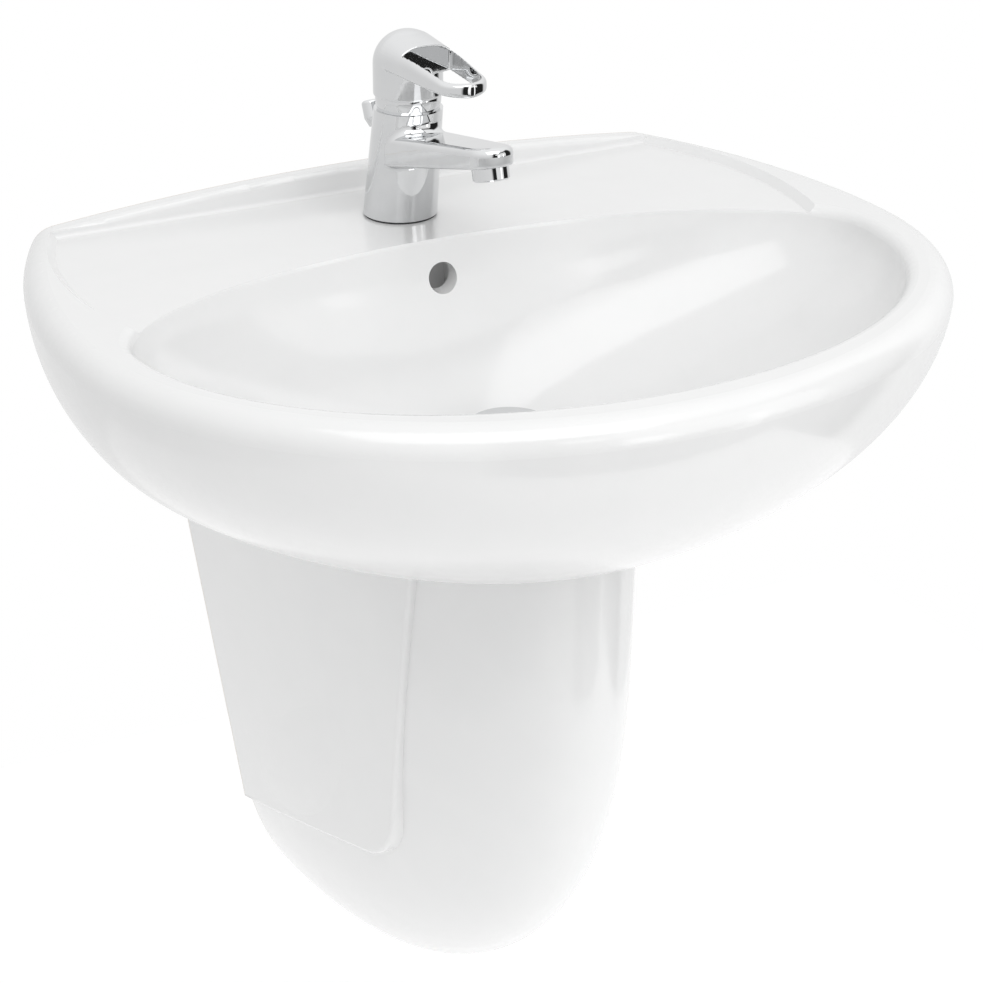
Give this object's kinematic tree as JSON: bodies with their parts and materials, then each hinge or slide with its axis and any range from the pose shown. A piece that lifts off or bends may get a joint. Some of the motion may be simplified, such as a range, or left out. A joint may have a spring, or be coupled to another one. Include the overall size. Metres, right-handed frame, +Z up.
{
  "type": "wall-hung washbasin with half pedestal",
  "caption": "Wall-hung oval washbasin with a half pedestal over its bottle trap, a chromed single-lever mixer and a pop-up waste.",
  "frame": {"origin": "on the wall plane, midway between the two studs that hold the basin", "axes": "+Y into the wall, -Y to the user, +Z up, +X to the user's right"},
  "size_m": [0.5986, 0.5432, 0.7018],
  "materials": {
    "china": "white glaze",
    "chrome": "polished",
    "brass": "machined",
    "steel": "zinc plated",
    "rubber": "matt",
    "white_plastic": "moulded",
    "grey_plastic": "moulded",
    "valve_ceramic": "lapped"
  },
  "bodies": {
    "fixed": {"aerator_insert": "grey_plastic", "aerator_sleeve": "chrome", "aerator_washer": "rubber", "base_gasket": "rubber", "basin": "china", "cartridge_housing": "grey_plastic", "cartridge_nut": "brass", "collar": "chrome", "cup_seal": "rubber", "dip_tube": "white_plastic", "fixed_disc": "valve_ceramic", "flange_seal": "rubber", "half_pedestal": "china", "horseshoe_gasket": "rubber", "horseshoe_plate": "steel", "mount_nut": "brass", "mount_stud": "brass", "outlet_nut": "white_plastic", "outlet_pipe": "white_plastic", "outlet_washer": "rubber", "pedestal_screws": "steel", "pedestal_washers": "white_plastic", "pivot_nut": "chrome", "pivot_seat": "white_plastic", "stud_nuts": "steel", "stud_sleeves": "white_plastic", "stud_washers": "steel", "tail_pipe": "chrome", "tap_body": "chrome", "trap_cup": "white_plastic", "trap_head": "white_plastic", "trap_inlet_nut": "white_plastic", "trap_inlet_washer": "rubber", "wall_rosette": "white_plastic", "wall_studs": "steel", "waste_body": "chrome", "waste_flange": "chrome", "waste_gasket": "rubber"},
    "turn": {"spindle_rotor": "grey_plastic", "spindle_pin": "steel"},
    "lever": {"lever": "chrome", "grub_screw": "steel", "spindle": "brass"},
    "disc": {"moving_disc": "valve_ceramic"},
    "lift": {"lift_rod": "chrome", "lift_knob": "chrome", "clevis_strap": "steel", "strap_screw": "steel"},
    "pivot": {"pivot_rod": "steel"},
    "plug": {"plug": "chrome", "plug_seal": "rubber"}
  },
  "joints": [
    {"name": "lever_turn", "type": "hinge", "parent": "fixed", "child": "turn", "pos_m": [0, -0.086, 0.1665], "axis": [0, 0, 1], "range_deg": [-45, 45]},
    {"name": "lever_lift", "type": "hinge", "parent": "turn", "child": "lever", "pos_m": [0, -0.086, 0.1665], "axis": [-1, 0, 0], "range_deg": [0, 20]},
    {"name": "disc_slide", "type": "slide", "parent": "turn", "child": "disc", "axis": [0, -1, 0], "range_m": [0, 0.00701]},
    {"name": "lift_rod_slide", "type": "slide", "parent": "fixed", "child": "lift", "axis": [0, 0.4067, 0.9135], "range_m": [0, 0.01932]},
    {"name": "pivot_swing", "type": "hinge", "parent": "fixed", "child": "pivot", "pos_m": [0, -0.201, -0.14], "axis": [1, 0, 0], "range_deg": [0, 22]},
    {"name": "plug_slide", "type": "slide", "parent": "fixed", "child": "plug", "axis": [0, 0, 1], "range_m": [-0.011, 0]}
  ],
  "couplings": [
    {"joint": "disc_slide", "follows": "lever_lift", "m_per_rad": 0.02008},
    {"joint": "pivot_swing", "follows": "lift_rod_slide", "rad_per_m": 19.872},
    {"joint": "plug_slide", "follows": "lift_rod_slide", "ratio": -0.5693}
  ]
}
